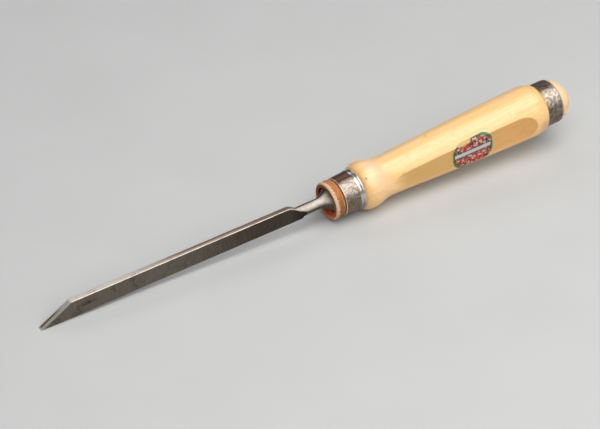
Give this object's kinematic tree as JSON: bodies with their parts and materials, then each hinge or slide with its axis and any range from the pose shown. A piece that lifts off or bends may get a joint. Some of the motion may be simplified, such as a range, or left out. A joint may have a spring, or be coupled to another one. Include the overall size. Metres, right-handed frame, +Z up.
{
  "type": "mortise chisel",
  "caption": "Narrow mortise chisel: tall rectangular blade with a single bevel, round bolster on a leather washer, steel ferrule, turned wooden handle with flats, steel striking hoop.",
  "frame": {"origin": "centre of the footprint on the surface that the tool lies on", "axes": "+X along the tool from the cutting edge to the butt, +Y across the blade, away from the label, +Z up; the tool lies on its cutting edge and the bulge of its handle, so its axis rises 4.3 degrees towards the butt"},
  "size_m": [0.3242, 0.029, 0.0357],
  "materials": {
    "blade_steel": "ground and lightly rusted",
    "leather": "cut edge, worn",
    "ferrule_steel": "aged, brown patina",
    "handle_wood": "lacquered pale hornbeam",
    "hoop_steel": "pitted, dark patina",
    "label_paper": "worn printed transfer"
  },
  "bodies": {
    "root": {"blade": "blade_steel", "leather_washer": "leather", "front_ferrule": "ferrule_steel", "handle": "handle_wood", "striking_hoop": "hoop_steel", "label": "label_paper"}
  },
  "joints": []
}
